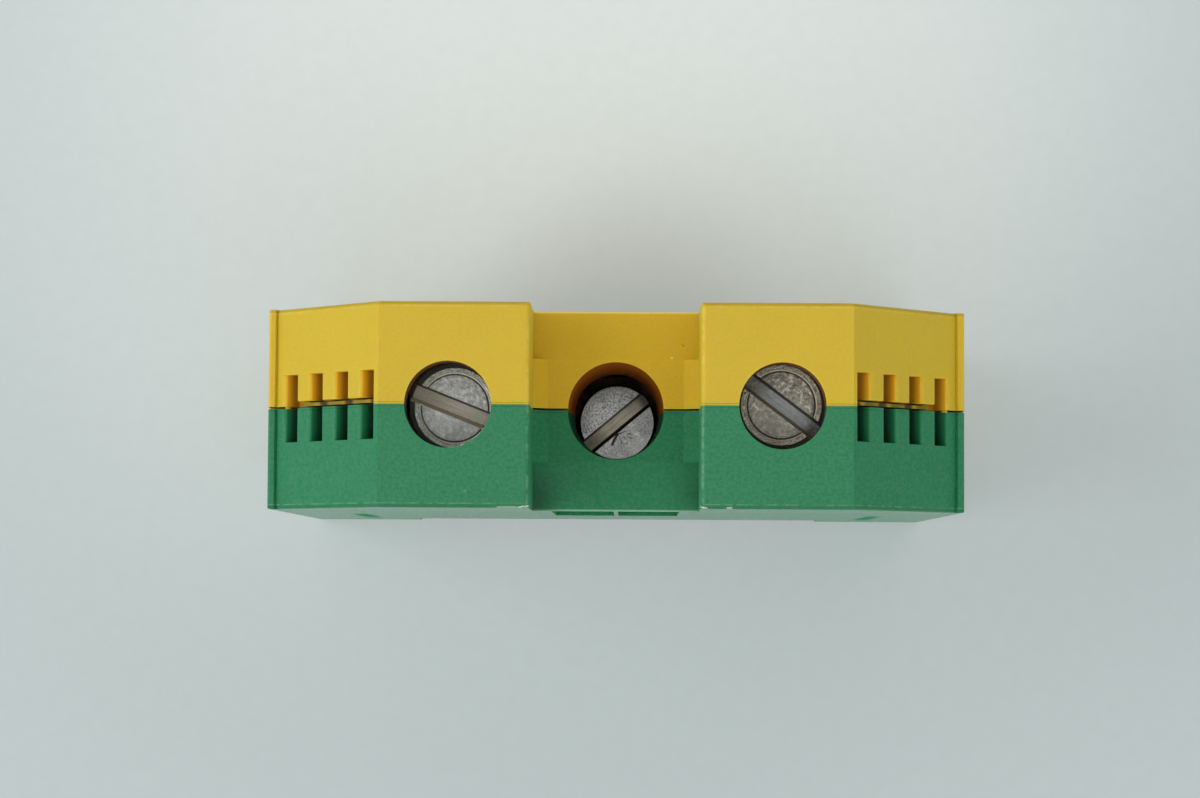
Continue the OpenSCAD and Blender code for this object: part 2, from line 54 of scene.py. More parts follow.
# Places and sizes on the housing, in metres
TOP_Z = CAD_BOX[1][2]
SIDE_Y = CAD_BOX[1][1]
TOWER_IN_X = 6.65*MM
TOWER_OUT_X = 18.4*MM
SHOULDER_ANGLE = math.radians(46)
SLOT_W = 1.61*MM
SLOT_HALF_L = 2.7*MM
SLOT_INSET = 0.43*MM
SLOT_PITCH = 3.17*MM
COMB_L = 11.6*MM
SEAM_W = 0.16*MM
WEB_EDGE = 0.44*MM
TEETH_EDGE = 0.56*MM
WEB_L = COMB_L - SLOT_W
CLAMP_X = 12.95*MM
TOWER_HOLE_R = 3.375*MM
WELL_R = 3.83*MM
PEG_X = 21.8*MM
PEG_Z = 17.3*MM
VALLEY_Z = TOP_Z - 8.6*MM
VALLEY_EDGE_Z = VALLEY_Z - 1.0*MM
EDGE_R = 0.35*MM

# Share of the slot pitch at which the web's painted shade is darkest, and gloss of the flat sides
WEB_GAP_PHASE = 0.23
SIDE_ROUGHNESS = 0.26


# Node trees

class Look:
    """One material, with short calls for the nodes that its tree needs."""

    def __init__(self, name):
        self.material = bpy.data.materials.new(name)
        self.material.use_nodes = True
        self.tree = self.material.node_tree
        self.shader = self.tree.nodes["Principled BSDF"]
        self.place = self.add("ShaderNodeTexCoord").outputs["Object"]

    def put(self, socket, value):
        if isinstance(value, bpy.types.NodeSocket):
            self.tree.links.new(value, socket)
        else:
            socket.default_value = value

    def add(self, kind, inputs=None, **settings):
        node = self.tree.nodes.new(kind)
        for key, value in settings.items():
            setattr(node, key, value)
        for key, value in (inputs or {}).items():
            self.put(node.inputs[key], value)
        return node

    def set(self, **sockets):
        for key, value in sockets.items():
            self.put(self.shader.inputs[key.replace("_", " ")], value)

    def moved(self, offset=(0, 0, 0), turn=0.0, scale=(1, 1, 1)):
        """Coordinates from a point of the CAD frame, turned about Z, then stretched."""
        inputs = {"Vector": self.place, "Location": [-c for c in offset]}
        start = self.add("ShaderNodeMapping", inputs, vector_type="POINT").outputs["Vector"]
        turned = {"Vector": start, "Rotation": (0, 0, -turn)}
        around = self.add("ShaderNodeMapping", turned, vector_type="POINT").outputs["Vector"]
        stretched = {"Vector": around, "Scale": scale}
        return self.add("ShaderNodeMapping", stretched, vector_type="POINT").outputs["Vector"]

    def noise(self, scale, detail=3.0, roughness=0.5, distortion=0.0, vector=None):
        inputs = {"Vector": vector or self.place, "Scale": scale, "Detail": detail,
                  "Roughness": roughness, "Distortion": distortion}
        return self.add("ShaderNodeTexNoise", inputs).outputs["Fac"]

    def cells(self, scale, vector=None):
        return self.add("ShaderNodeTexVoronoi", {"Vector": vector or self.place, "Scale": scale})

    def fit(self, value, low, high, to_low=0.0, to_high=1.0, smooth=True):
        """Takes the range from low to high over to another range, and holds the ends."""
        inputs = {"Value": value, "From Min": low, "From Max": high,
                  "To Min": to_low, "To Max": to_high}
        kind = "SMOOTHSTEP" if smooth else "LINEAR"
        return self.add("ShaderNodeMapRange", inputs, interpolation_type=kind).outputs["Result"]

    def maths(self, operation, a, b=0.0):
        node = self.add("ShaderNodeMath", operation=operation)
        self.put(node.inputs[0], a)
        self.put(node.inputs[1], b)
        return node.outputs[0]

    def vector(self, operation, a, b=(0, 0, 0)):
        node = self.add("ShaderNodeVectorMath", operation=operation)
        self.put(node.inputs[0], a)
        self.put(node.inputs["Scale"] if operation == "SCALE" else node.inputs[1], b)
        return node.outputs["Value" if operation in ("LENGTH", "DISTANCE", "DOT_PRODUCT") else "Vector"]

    def mix(self, factor, a, b):
        """Colour that goes from a to b with the factor."""
        node = self.add("ShaderNodeMix", data_type="RGBA")
        self.put(node.inputs["Factor"], factor)
        self.put(node.inputs["A"], a if isinstance(a, bpy.types.NodeSocket) else (*a, 1))
        self.put(node.inputs["B"], b if isinstance(b, bpy.types.NodeSocket) else (*b, 1))
        return node.outputs["Result"]

    def rings(self, radius, scale):
        """Bands that depend on one length only, such as turning marks."""
        inputs = {"W": radius, "Scale": scale, "Detail": 2.0}
        return self.add("ShaderNodeTexNoise", inputs, noise_dimensions="1D").outputs["Fac"]

    def all_of(self, first, *rest):
        """Product of masks."""
        for mask in rest:
            first = self.maths("MULTIPLY", first, mask)
        return first

    def any_of(self, first, *rest):
        """Highest of masks."""
        for mask in rest:
            first = self.maths("MAXIMUM", first, mask)
        return first

    def hypot(self, a, b):
        squares = self.maths("ADD", self.maths("MULTIPLY", a, a), self.maths("MULTIPLY", b, b))
        return self.maths("SQRT", squares)

    def axis(self, name, vector=None):
        return self.add("ShaderNodeSeparateXYZ", {"Vector": vector or self.place}).outputs[name]

    def band(self, value, middle, inner, outer):
        """One within inner of the middle value, none beyond outer."""
        away = self.maths("ABSOLUTE", self.maths("SUBTRACT", value, middle))
        return self.fit(away, inner, outer, 1.0, 0.0)

    def stroke(self, vector, start, end, width):
        """Mask of a line between two points of flattened coordinates."""
        start = Vector((*start, 0.0))
        span = Vector((*end, 0.0)) - start
        from_start = self.vector("SUBTRACT", vector, start)
        share = self.vector("DOT_PRODUCT", from_start, span/span.length_squared)
        reached = self.vector("SCALE", span, self.fit(share, 0, 1, smooth=False))
        return self.fit(self.vector("DISTANCE", from_start, reached), 0.3*width, 0.6*width, 1.0, 0.0)

    def bump(self, height, depth, strength=1.0, under=None):
        inputs = {"Height": height, "Distance": depth, "Strength": strength}
        if under:
            inputs["Normal"] = under
        return self.add("ShaderNodeBump", inputs).outputs["Normal"]


def srgb(red, green, blue):
    """Linear colour of an 8-bit screen colour."""
    def line(c):
        c /= 255
        return c/12.92 if c <= 0.04045 else ((c + 0.055)/1.055)**2.4
    return (line(red), line(green), line(blue))


def times(colour, factor):
    return [min(1.0, factor*c) for c in colour]


def dress(look, *names):
    for name in names:
        nodes[name].data.materials.clear()
        nodes[name].data.materials.append(look.material)


# Moulded plastic

def comb_lengths(look, far, height):
    """Length down the shoulder from its top, and depth below the shoulder's face."""
    out = look.maths("SUBTRACT", far, TOWER_OUT_X)
    down = look.maths("SUBTRACT", TOP_Z, height)
    cosine = math.cos(SHOULDER_ANGLE)
    sine = math.sin(SHOULDER_ANGLE)
    run = look.maths("ADD", look.maths("MULTIPLY", out, cosine), look.maths("MULTIPLY", down, sine))
    sunk = look.maths("SUBTRACT", look.maths("MULTIPLY", down, cosine), look.maths("MULTIPLY", out, sine))
    return run, sunk


def in_comb(look, far, aside, run, sunk):
    """Mask of the box round a comb's slots."""
    return look.all_of(look.fit(aside, SLOT_HALF_L + 0.02*MM, SLOT_HALF_L + 0.06*MM, 1.0, 0.0),
                       look.fit(far, TOWER_OUT_X, TOWER_OUT_X + 0.1*MM),
                       look.fit(sunk, 1.6*MM, 1.8*MM, 1.0, 0.0),
                       look.fit(run, COMB_L, COMB_L + 0.1*MM, 1.0, 0.0))


def web_masks(look, across, run, sunk):
    """Masks of the painted shade along the parting line in the yellow comb, and of the pale bars of
    painted light in it.
    """
    pitches = look.maths("DIVIDE", look.maths("SUBTRACT", run, SLOT_INSET), SLOT_PITCH)
    from_gap = look.maths("ABSOLUTE", look.maths("SUBTRACT", look.maths("FRACT", pitches), WEB_GAP_PHASE))
    bars = look.all_of(look.fit(from_gap, 0.08, 0.24),
                       look.fit(across, SEAM_W - 0.01*MM, SEAM_W),
                       look.fit(across, WEB_EDGE, WEB_EDGE + 0.02*MM, 1.0, 0.0))
    reach = look.any_of(look.fit(run, WEB_L - 0.05*MM, WEB_L, 1.0, 0.0),
                        look.fit(across, SEAM_W - 0.01*MM, SEAM_W, 1.0, 0.0))
    web_shade = look.all_of(reach, look.fit(sunk, 0.5*MM, 0.65*MM, 0.0, 0.95),
                         look.fit(across, 0.0, 0.01*MM),
                         look.fit(across, TEETH_EDGE, TEETH_EDGE + 0.02*MM, 1.0, 0.0))
    return web_shade, bars


def comb_painted_shading(look, tone, slot_tones, bar_tone, darkening, far, aside, height):
    """Marker slots painted light at their edges and in painted shade that darkens with depth, and the
    yellow shell's web in painted shade with pale bars of painted light.
    """
    run, sunk = comb_lengths(look, far, height)
    inside = in_comb(look, far, aside, run, sunk)
    # Painted light near the slots' edges, painted shade deeper in them.
    slot_tone = look.mix(look.fit(sunk, 0.2*MM, 1.1*MM), *slot_tones)
    slots = look.all_of(look.fit(sunk, 0.05*MM, 0.20*MM, 0.0, 0.85), inside)
    tone = look.mix(slots, tone, slot_tone)
    # The web along the parting line: painted shade, with pale bars of painted light.
    web_shade, bars = web_masks(look, look.axis("Y"), run, sunk)
    return look.mix(look.all_of(web_shade, inside), tone, look.mix(bars, darkening, bar_tone))


def bores(look, far, aside, height):
    """Masks of the wall of the middle well and of the holes over the clamp screws."""
    well = look.all_of(look.fit(look.hypot(far, aside), WELL_R + 0.09*MM, WELL_R + 0.12*MM, 1.0, 0.0),
                       look.fit(height, VALLEY_Z - 0.12*MM, VALLEY_Z - 0.02*MM, 1.0, 0.0))
    from_screw = look.hypot(look.maths("SUBTRACT", far, CLAMP_X), aside)
    holes = look.all_of(look.fit(from_screw, TOWER_HOLE_R + 0.01*MM, TOWER_HOLE_R + 0.02*MM, 1.0, 0.0),
                        look.fit(height, TOP_Z - 0.12*MM, TOP_Z - 0.02*MM, 1.0, 0.0))
    return well, holes


def upper_skin(look, far, height):
    """Mask of the top faces and shoulders, with their edges."""
    sunk = comb_lengths(look, far, height)[1]
    shoulder = look.all_of(look.fit(sunk, 0.1*MM, 0.4*MM, 1.0, 0.0),
                           look.fit(far, TOWER_OUT_X, TOWER_OUT_X + 0.1*MM))
    return look.any_of(look.fit(height, TOP_Z - 0.4*MM, TOP_Z - 0.1*MM), shoulder)


def worn_edges(look, skin, far, aside, height):
    """Mask of the edges that handling has rubbed pale."""
    rubbed = look.fit(look.noise(1400, detail=3), 0.42, 0.58, 0.0, 0.3)
    tower_edge = look.all_of(look.band(far, TOWER_IN_X + 0.1*MM, 0.05*MM, 0.2*MM), skin, rubbed)
    side_edge = look.all_of(look.band(aside, SIDE_Y - EDGE_R, 0.01*MM, 0.07*MM), skin, rubbed)
    valley_edge = look.all_of(look.band(height, VALLEY_EDGE_Z, 0.06*MM, 0.20*MM),
                              look.fit(aside, SIDE_Y - 0.16*MM, SIDE_Y - 0.08*MM, 0.0, 0.7),
                              look.fit(far, TOWER_IN_X - 0.1*MM, TOWER_IN_X, 1.0, 0.0))
    return look.any_of(tower_edge, side_edge, valley_edge)


def moulded_tone(look, colour, tower_sheen_colour, dust, on_towers, grain):
    """Clouded and grained colour, with a paler painted sheen on the towers and shoulders."""
    cloud = look.noise(260, detail=4)
    fine = look.noise(11000, detail=2)
    # The towers and shoulders take the paler colour: a painted sheen.
    tone = look.mix(on_towers, colour, tower_sheen_colour)
    tone = look.mix(look.fit(cloud, 0.3, 0.7, 0.0, 0.10), tone, times(colour, 0.75))
    tone = look.mix(look.fit(grain, 0.35, 0.65, 0.0, 0.08), tone, dust)
    return look.mix(look.fit(fine, 0.35, 0.65, 0.0, 0.16), tone, times(colour, 0.6))


def specks(look):
    """Mask of a few faint specks."""
    speck = look.cells(520)
    few = look.add("ShaderNodeSeparateColor", {"Color": speck.outputs["Color"]}).outputs["Red"]
    near = look.fit(speck.outputs["Distance"], 0.03, 0.10, 1.0, 0.0)
    return look.all_of(near, look.fit(few, 0.93, 0.97, 0.0, 0.2))


def valley_corners(look, far, aside, height, darkening):
    """Mask of the painted shade in the valley's outer corners, as strong as told for the left and the
    right.
    """
    return look.all_of(look.fit(look.axis("X"), -TOWER_IN_X, TOWER_IN_X, *darkening),
                       look.fit(far, 3.6*MM, 6.5*MM), look.fit(aside, 3.6*MM, 7.0*MM),
                       look.fit(far, TOWER_IN_X - 0.05*MM, TOWER_IN_X, 1.0, 0.0),
                       look.fit(height, VALLEY_EDGE_Z - 0.2*MM, VALLEY_EDGE_Z))


def flecked(look, tone, flecks, height):
    """Small marks on top faces, each with its ends, width and the height of its face."""
    plan = look.moved(scale=(1, 1, 0))
    for start, end, width, level, shade in flecks:
        mark = look.stroke(plan, [c*MM for c in start], [c*MM for c in end], width*MM)
        mark = look.all_of(mark, look.fit(height, level - 0.40*MM, level - 0.25*MM, 0.0, 0.7))
        tone = look.mix(mark, tone, shade)
    return tone


def plastic(shell, colour, tower_sheen_colour, slot_tones, darkening, bore_shade, dust, scatter, depth, flecks,
            corner_shade=(0.0, 0.0), peg_dirt=0.0):
    """Moulded plastic, with a paler painted sheen on the towers, painted light and shade in the marker
    slots and on the web, painted shade in the well and the screw holes, on the top edges' roundings and
    in the valley's corners, and worn along its edges.
    """
    look = Look(shell + "_plastic")
    far = look.maths("ABSOLUTE", look.axis("X"))
    aside = look.maths("ABSOLUTE", look.axis("Y"))
    height = look.axis("Z")
    on_towers = look.all_of(look.fit(far, TOWER_IN_X - 0.1*MM, TOWER_IN_X + 0.1*MM),
                          look.fit(height, VALLEY_EDGE_Z - 5*MM, VALLEY_EDGE_Z))
    on_side = look.fit(aside, SIDE_Y - 0.10*MM, SIDE_Y - 0.02*MM)
    at_peg = look.all_of(look.fit(on_side, 0.0, 1.0, 0.0, peg_dirt),
                         look.band(far, PEG_X, 0.4*MM, 0.85*MM),
                         look.band(height, PEG_Z, 5*MM, 11*MM))
    skin = upper_skin(look, far, height)
    grain = look.noise(3600, detail=2)

    tone = moulded_tone(look, colour, tower_sheen_colour, dust, on_towers, grain)
    tone = comb_painted_shading(look, tone, slot_tones, times(tower_sheen_colour, 0.62), darkening, far, aside, height)
    tone = look.mix(look.band(aside, SEAM_W, 0.006*MM, 0.012*MM), tone, times(darkening, 0.3))
    # The walls of the well and of the screw holes are darkened: painted shade.
    well, holes = bores(look, far, aside, height)
    tone = look.mix(well, tone, bore_shade)
    tone = look.mix(holes, tone, times(bore_shade, 0.4))
    tone = look.mix(specks(look), tone, dust)
    # The roundings of the top front and back edges are darkened: painted shade.
    rounding = look.all_of(look.fit(aside, SIDE_Y - EDGE_R, SIDE_Y - 0.6*EDGE_R, 0.0, 0.35), skin)
    tone = look.mix(rounding, tone, times(colour, 0.4))
    tone = look.mix(worn_edges(look, skin, far, aside, height), tone, dust)
    # Painted shade in the valley's outer corners, stronger on the left.
    tone = look.mix(valley_corners(look, far, aside, height, corner_shade), tone, times(colour, 0.35))
    tone = look.mix(look.maths("MULTIPLY", at_peg, 0.2), tone, times(colour, 0.5))
    tone = flecked(look, tone, flecks, height)

    rough = look.fit(look.noise(900, detail=3), 0.3, 0.7, 0.54, 0.66)
    polished = {"Factor": look.maths("SUBTRACT", on_side, at_peg), "A": rough, "B": SIDE_ROUGHNESS}
    glint = look.all_of(look.fit(on_towers, 0.0, 1.0, 0.22, 0.40), look.fit(on_side, 0.0, 1.0, 1.0, 0.8),
                        look.fit(at_peg, 0.0, 1.0, 1.0, 0.1))
    look.set(Base_Color=tone, Roughness=look.add("ShaderNodeMix", polished).outputs["Result"],
             Specular_IOR_Level=glint, Normal=look.bump(grain, 0.010*MM, 0.6),
             Subsurface_Weight=1.0, Subsurface_Scale=depth, Subsurface_Radius=scatter)
    dress(look, shell + "_half_shell")


# Each shell's second colour is the painted sheen of its towers and shoulders.
plastic("yellow", colour=srgb(208, 172, 26), tower_sheen_colour=srgb(202, 174, 32),
        # Slot tones: painted light at the slots' edges, painted shade deep in them. The darkening colour
        # is the seam's dark joint and the painted shade of the web.
        slot_tones=(srgb(236, 186, 36), srgb(164, 106, 5)), darkening=srgb(40, 34, 3),
        # The colour for the well and hole walls is painted shade.
        bore_shade=srgb(158, 82, 14), dust=srgb(222, 203, 120), scatter=(1.0, 0.6, 0.10), depth=0.6*MM,
        flecks=[((4.44, 4.26), (4.50, 4.26), 0.16, VALLEY_Z, srgb(230, 220, 180)),
                ((5.28, 5.37), (5.41, 5.24), 0.14, VALLEY_Z, srgb(110, 70, 10))])
plastic("green", colour=srgb(24, 120, 76), tower_sheen_colour=srgb(20, 123, 79),
        # Slot tones: painted light at the slots' edges, painted shade deep in them. The darkening colour
        # is the seam's dark joint.
        slot_tones=(srgb(30, 128, 82), srgb(5, 50, 29)), darkening=srgb(6, 38, 22),
        # The colour for the well and hole walls is painted shade.
        bore_shade=srgb(20, 84, 56), dust=srgb(150, 180, 155), scatter=(0.15, 0.8, 0.45), depth=0.35*MM,
        flecks=[((-9.05, -7.93), (-7.75, -7.92), 0.16, TOP_Z, srgb(150, 170, 150)),
                ((8.70, -7.91), (9.00, -7.90), 0.18, TOP_Z, srgb(185, 190, 170))],
        # Painted shade in the valley's corners, for the left and the right.
        corner_shade=(0.7, 0.3), peg_dirt=1.0)


# Torn plastic on the front edges of the towers

def burr(name, stations, look):
    """Thin strip over the edge's rounding, from stations of x, upper angle, lower angle and lift."""
    axis_y = -(SIDE_Y - EDGE_R)
    axis_z = TOP_Z - EDGE_R
    points = []
    for x, upper, lower, lift in stations:
        outer = EDGE_R + lift*MM
        inner = EDGE_R - 0.05*MM
        for radius, angle in ((outer, upper), (outer, lower), (inner, lower), (inner, upper)):
            turn = math.radians(angle)
            points.append((x*MM, axis_y - radius*math.sin(turn), axis_z + radius*math.cos(turn)))
    last = 4*(len(stations) - 1)
    faces = [(0, 1, 2, 3), (last + 3, last + 2, last + 1, last)]
    for row in range(0, last, 4):
        for k in range(4):
            following = (k + 1) % 4
            faces.append((row + following, row + k, row + 4 + k, row + 4 + following))
    mesh = bpy.data.meshes.new(name)
    mesh.from_pydata(points, [], faces)
    mesh.materials.append(look.material)
    strip = bpy.data.objects.new(name, mesh)
    bpy.context.scene.collection.objects.link(strip)
    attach(strip, "housing")


def burrs():
    """Pale, torn strips at the inner front corners of both towers."""
    look = Look("torn_plastic")
    streaks = look.noise(5200, detail=3)
    tone = look.mix(look.fit(streaks, 0.35, 0.65), srgb(96, 150, 116), srgb(196, 204, 182))
    look.set(Base_Color=tone, Roughness=0.5, Normal=look.bump(streaks, 0.02*MM, 0.6))
    burr("left_burr", LEFT_TEAR, look)
    burr("right_burr", RIGHT_TEAR, look)


LEFT_TEAR = [(-6.60, 26, 40, 0.025), (-6.80, 24, 54, 0.03), (-7.05, 25, 48, 0.03),
             (-7.20, 32, 62, 0.03), (-7.45, 36, 58, 0.03), (-7.70, 50, 60, 0.02)]
RIGHT_TEAR = [(6.60, 25, 38, 0.025), (6.78, 24, 50, 0.03), (6.98, 30, 56, 0.03), (7.18, 46, 60, 0.02)]
burrs()


# Metal

def steel(name, bright, dull, roughness, *names):
    """Clouded bare metal of the inner pieces."""
    look = Look(name)
    cloud = look.noise(420, detail=5, roughness=0.6)
    grain = look.noise(5200, detail=3)
    tone = look.mix(look.fit(cloud, 0.35, 0.65), dull, bright)
    tone = look.mix(look.fit(grain, 0.52, 0.72, 0.0, 0.35), tone, dull)
    rough = look.fit(cloud, 0.3, 0.7, roughness[1], roughness[0])
    look.set(Base_Color=tone, Metallic=1.0, Roughness=rough, Normal=look.bump(grain, 0.012*MM, 0.7))
    dress(look, *names)


steel("plated_steel", srgb(186, 186, 182), srgb(156, 156, 150), (0.34, 0.52),
      "left_clamp_yoke", "right_clamp_yoke", "rail_foot", "rail_claw", "rail_lock_washer")
steel("tinned_copper", srgb(132, 104, 92), srgb(96, 70, 60), (0.48, 0.62), "current_bar")


class Head:
    """Sizes of a screw's head, in metres."""
    slot_half = 0.74*MM
    sound_foot = 0.62*MM
    worn_foot = -0.36*MM
    top_r = 3.14*MM
    groove_r = 2.62*MM
    flank_r = 2.76*MM


# Dark colour of the pits, and of the painted shade in the slots' walls and the ring grooves.
DIRT_AND_SHADE = srgb(36, 29, 23)


def marks(look, tone, vector, strokes, strength, shade):
    """Strokes over a tone, each with its ends and width in millimetres."""
    for start, end, width in strokes:
        mark = look.stroke(vector, [c*MM for c in start], [c*MM for c in end], width*MM)
        tone = look.mix(look.maths("MULTIPLY", mark, strength), tone, shade)
    return tone


def slot_floor(look, middle, slot_angle, across, along, depth, mottle, tones, worn):
    """Floor of a driver slot, dirty and in painted shade towards its ends, between a sound wall painted
    dark as shadow and one that is worn to a slope.
    """
    grooved = look.moved(middle, math.radians(slot_angle), (500, 5200, 500))
    streaks = look.noise(1.0, detail=3, vector=grooved)
    # The slot floor darkens towards both ends: painted shade.
    tone = look.mix(look.fit(along, -2.9*MM, -0.6*MM), tones[0], tones[1])
    tone = look.mix(look.fit(along, 2.2*MM, 3.1*MM), tone, tones[2])
    tone = look.mix(look.fit(streaks, 0.40, 0.65, 0.0, 0.4), tone, times(tones[1], 0.5))
    tone = look.mix(look.fit(mottle, 0.5, 0.7, 0.0, 0.3), tone, times(tones[1], 1.5))
    lines = look.fit(look.rings(depth, 5200), 0.40, 0.60)
    slope = look.mix(lines, times(worn, 0.55), times(worn, 1.3))
    on_slope = look.fit(across, Head.worn_foot - 0.03*MM, Head.worn_foot + 0.05*MM, 1.0, 0.0)
    tone = look.mix(on_slope, tone, slope)
    # The sound wall is painted dark: painted shadow.
    shadowed_wall = look.fit(across, Head.sound_foot - 0.04*MM, Head.sound_foot + 0.01*MM)
    return look.mix(shadowed_wall, tone, DIRT_AND_SHADE)


def ringed_face(look, tone, radius, depth, rim, shifted):
    """Rough rim outside a ring groove, with a painted highlight on its leaning flank and painted shade in
    the groove.
    """
    coarse = look.cells(7500, vector=shifted).outputs["Distance"]
    rough_rim = look.mix(look.fit(coarse, 0.25, 0.65), times(rim, 1.2), times(rim, 0.65))
    tone = look.mix(look.fit(radius, Head.groove_r + 0.02*MM, Head.groove_r + 0.12*MM), tone, rough_rim)
    # Painted highlight on the groove's leaning flank.
    flank = look.all_of(look.band(radius, Head.flank_r, 0.06*MM, 0.08*MM),
                        look.fit(depth, 0.01*MM, 0.04*MM))
    tone = look.mix(flank, tone, times(rim, 2.4))
    # Painted shade in the ring groove.
    groove = look.all_of(look.fit(depth, 0.20*MM, 0.24*MM, 0.0, 0.8),
                         look.band(radius, Head.groove_r, 0.07*MM, 0.09*MM))
    return look.mix(groove, tone, DIRT_AND_SHADE)


def worn_face(look, face, middle, shifted, cloud, mottle, turned, cast):
    """Face of a head, mottled and scratched, with turning marks that a cast face shows less."""
    patches = look.noise(1400, detail=4, distortion=1.0, vector=shifted)
    scratch = look.noise(1.0, detail=3, vector=look.moved(middle, 0.9, (350, 6500, 350)))
    tone = look.mix(look.fit(cloud, 0.34, 0.66), times(face, 0.78), times(face, 1.05))
    tone = look.mix(look.fit(mottle, 0.40, 0.66, 0.0, 0.6), tone, times(face, 0.5))
    tone = look.mix(look.fit(turned, 0.38, 0.62, 0.0, 0.4*(1 - cast)), tone, times(face, 0.55))
    tone = look.mix(look.fit(patches, 0.56, 0.70, 0.0, 0.4), tone, times(face, 1.6))
    return look.mix(look.fit(scratch, 0.62, 0.70, 0.0, 0.5), tone, times(face, 0.45))


def lumped(look, tone, face, lump, across, lumps):
    """Bright and dark lumps, mostly on one side of the slot."""
    lumpy = look.fit(across, 0.4*MM, 1.2*MM, 0.35*lumps, lumps)
    tone = look.mix(look.all_of(look.fit(lump, 0.54, 0.62), lumpy), tone, times(face, 1.7))
    return look.mix(look.all_of(look.fit(lump, 0.38, 0.46, 1.0, 0.0), lumpy), tone, times(face, 0.35))


def pitted(look, tone, across, shifted, cast):
    """Dark pits of a cast face, mostly on one side of the slot."""
    grit = look.cells(7000, vector=shifted).outputs["Distance"]
    rough_side = look.fit(across, -0.5*MM, 0.5*MM, 0.5*cast, cast)
    return look.mix(look.all_of(look.fit(grit, 0.45, 0.75), rough_side), tone, DIRT_AND_SHADE)


def screw(node, slot_angle, face, rim, floor_tones, worn, roughness, dirty=0.25, cast=0.0, lumps=0.0,
          cracks=(), rubs_and_highlights=(), seed=0.0):
    """Worn, dirty screw, with its face, rim, slot, painted shade and painted highlights laid out round
    the screw's own axis.
    """
    look = Look(node + "_steel")
    low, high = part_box(node)
    middle = ((low[0] + high[0])/2, (low[1] + high[1])/2, high[2])
    own = look.moved(middle, math.radians(slot_angle))
    flat = look.moved(middle, scale=(1, 1, 0))
    radius = look.vector("LENGTH", flat)
    depth = look.maths("MULTIPLY", look.axis("Z", own), -1.0)
    across = look.axis("Y", own)
    along = look.axis("X", own)
    shifted = look.moved((seed, seed, 0))
    cloud = look.noise(520, detail=5, roughness=0.6, vector=shifted)
    mottle = look.noise(10500, detail=3, roughness=0.6, vector=shifted)
    turned = look.rings(radius, 5600)
    lump = look.noise(3000, detail=3, roughness=0.6, vector=shifted)

    tone = worn_face(look, face, middle, shifted, cloud, mottle, turned, cast)
    tone = lumped(look, tone, face, lump, across, lumps)
    if cast:
        tone = pitted(look, tone, across, shifted, cast)
        bumps = look.bump(mottle, 0.02*MM, 0.3)
    else:
        tone = ringed_face(look, tone, radius, depth, rim, shifted)
        marked = look.maths("MULTIPLY", turned, 0.4)
        relief = look.maths("ADD", look.maths("MULTIPLY", mottle, 0.6), marked)
        bumps = look.bump(relief, 0.03*MM, 0.6)
        bumps = look.bump(lump, 0.15*MM, lumps, under=bumps)
    drift = {"Vector": shifted, "Scale": 2600, "Detail": 2}
    wander = look.add("ShaderNodeTexNoise", drift).outputs["Color"]
    wavy = look.vector("ADD", flat, look.vector("SCALE", wander, 0.12*MM))
    tone = marks(look, tone, wavy, cracks, 0.95, srgb(12, 10, 9))
    # Pale strokes: rubbed patches and painted highlights on the ring.
    tone = marks(look, tone, wavy, rubs_and_highlights, 0.8, times(face, 2.3))
    # The head's side outside its top face is darkened: painted shade.
    head_side_shade = look.fit(radius, Head.top_r, Head.top_r + 0.05*MM, 0.0, 0.8)
    tone = look.mix(head_side_shade, tone, times(rim, 0.3))
    beside = look.maths("ABSOLUTE", across)
    sunk = look.fit(depth, 0.03*MM, 0.10*MM)
    in_slot = look.all_of(sunk, look.fit(beside, Head.slot_half, Head.slot_half + 0.01*MM, 1.0, 0.0))
    tone = look.mix(in_slot, tone, slot_floor(look, middle, slot_angle, across, along, depth, mottle,
                                              floor_tones, worn))
    tone = look.mix(look.fit(depth, 1.6*MM, 1.9*MM), tone, srgb(120, 116, 106))

    rough = look.fit(cloud, 0.3, 0.7, roughness[1], roughness[0])
    metal = look.fit(sunk, 0.0, 1.0, 0.9, dirty)
    look.set(Base_Color=tone, Metallic=metal, Roughness=rough, Normal=bumps)
    dress(look, node)


screw("left_clamp_screw", slot_angle=-21.5, face=srgb(168, 168, 162), rim=srgb(164, 164, 150),
      floor_tones=[srgb(172, 166, 146), srgb(190, 184, 166), srgb(160, 154, 138)],
      worn=srgb(212, 200, 174), roughness=(0.38, 0.54), lumps=0.35, seed=0.011,
      # Pale strokes of painted highlight on the ring.
      rubs_and_highlights=[((2.00, 2.24), (2.50, 1.66), 0.14), ((2.50, 1.66), (2.84, 0.98), 0.18),
            ((2.84, 0.98), (3.00, 0.25), 0.14), ((0.50, -2.86), (1.44, -2.54), 0.12)])
screw("right_clamp_screw", slot_angle=-37.0, face=srgb(152, 147, 134), rim=srgb(160, 152, 135),
      floor_tones=[srgb(116, 108, 90), srgb(178, 180, 176), srgb(84, 79, 72)],
      worn=srgb(150, 132, 108), roughness=(0.38, 0.54), lumps=0.75, seed=0.043,
      # Pale strokes: rubbed patches, and a painted highlight on the ring at the upper right.
      rubs_and_highlights=[((-2.30, 0.20), (-2.10, -0.05), 0.14), ((-2.10, 0.25), (-1.85, -0.15), 0.16),
            ((-1.90, 0.00), (-1.75, -0.30), 0.14), ((2.14, 1.34), (2.34, 0.94), 0.16)])
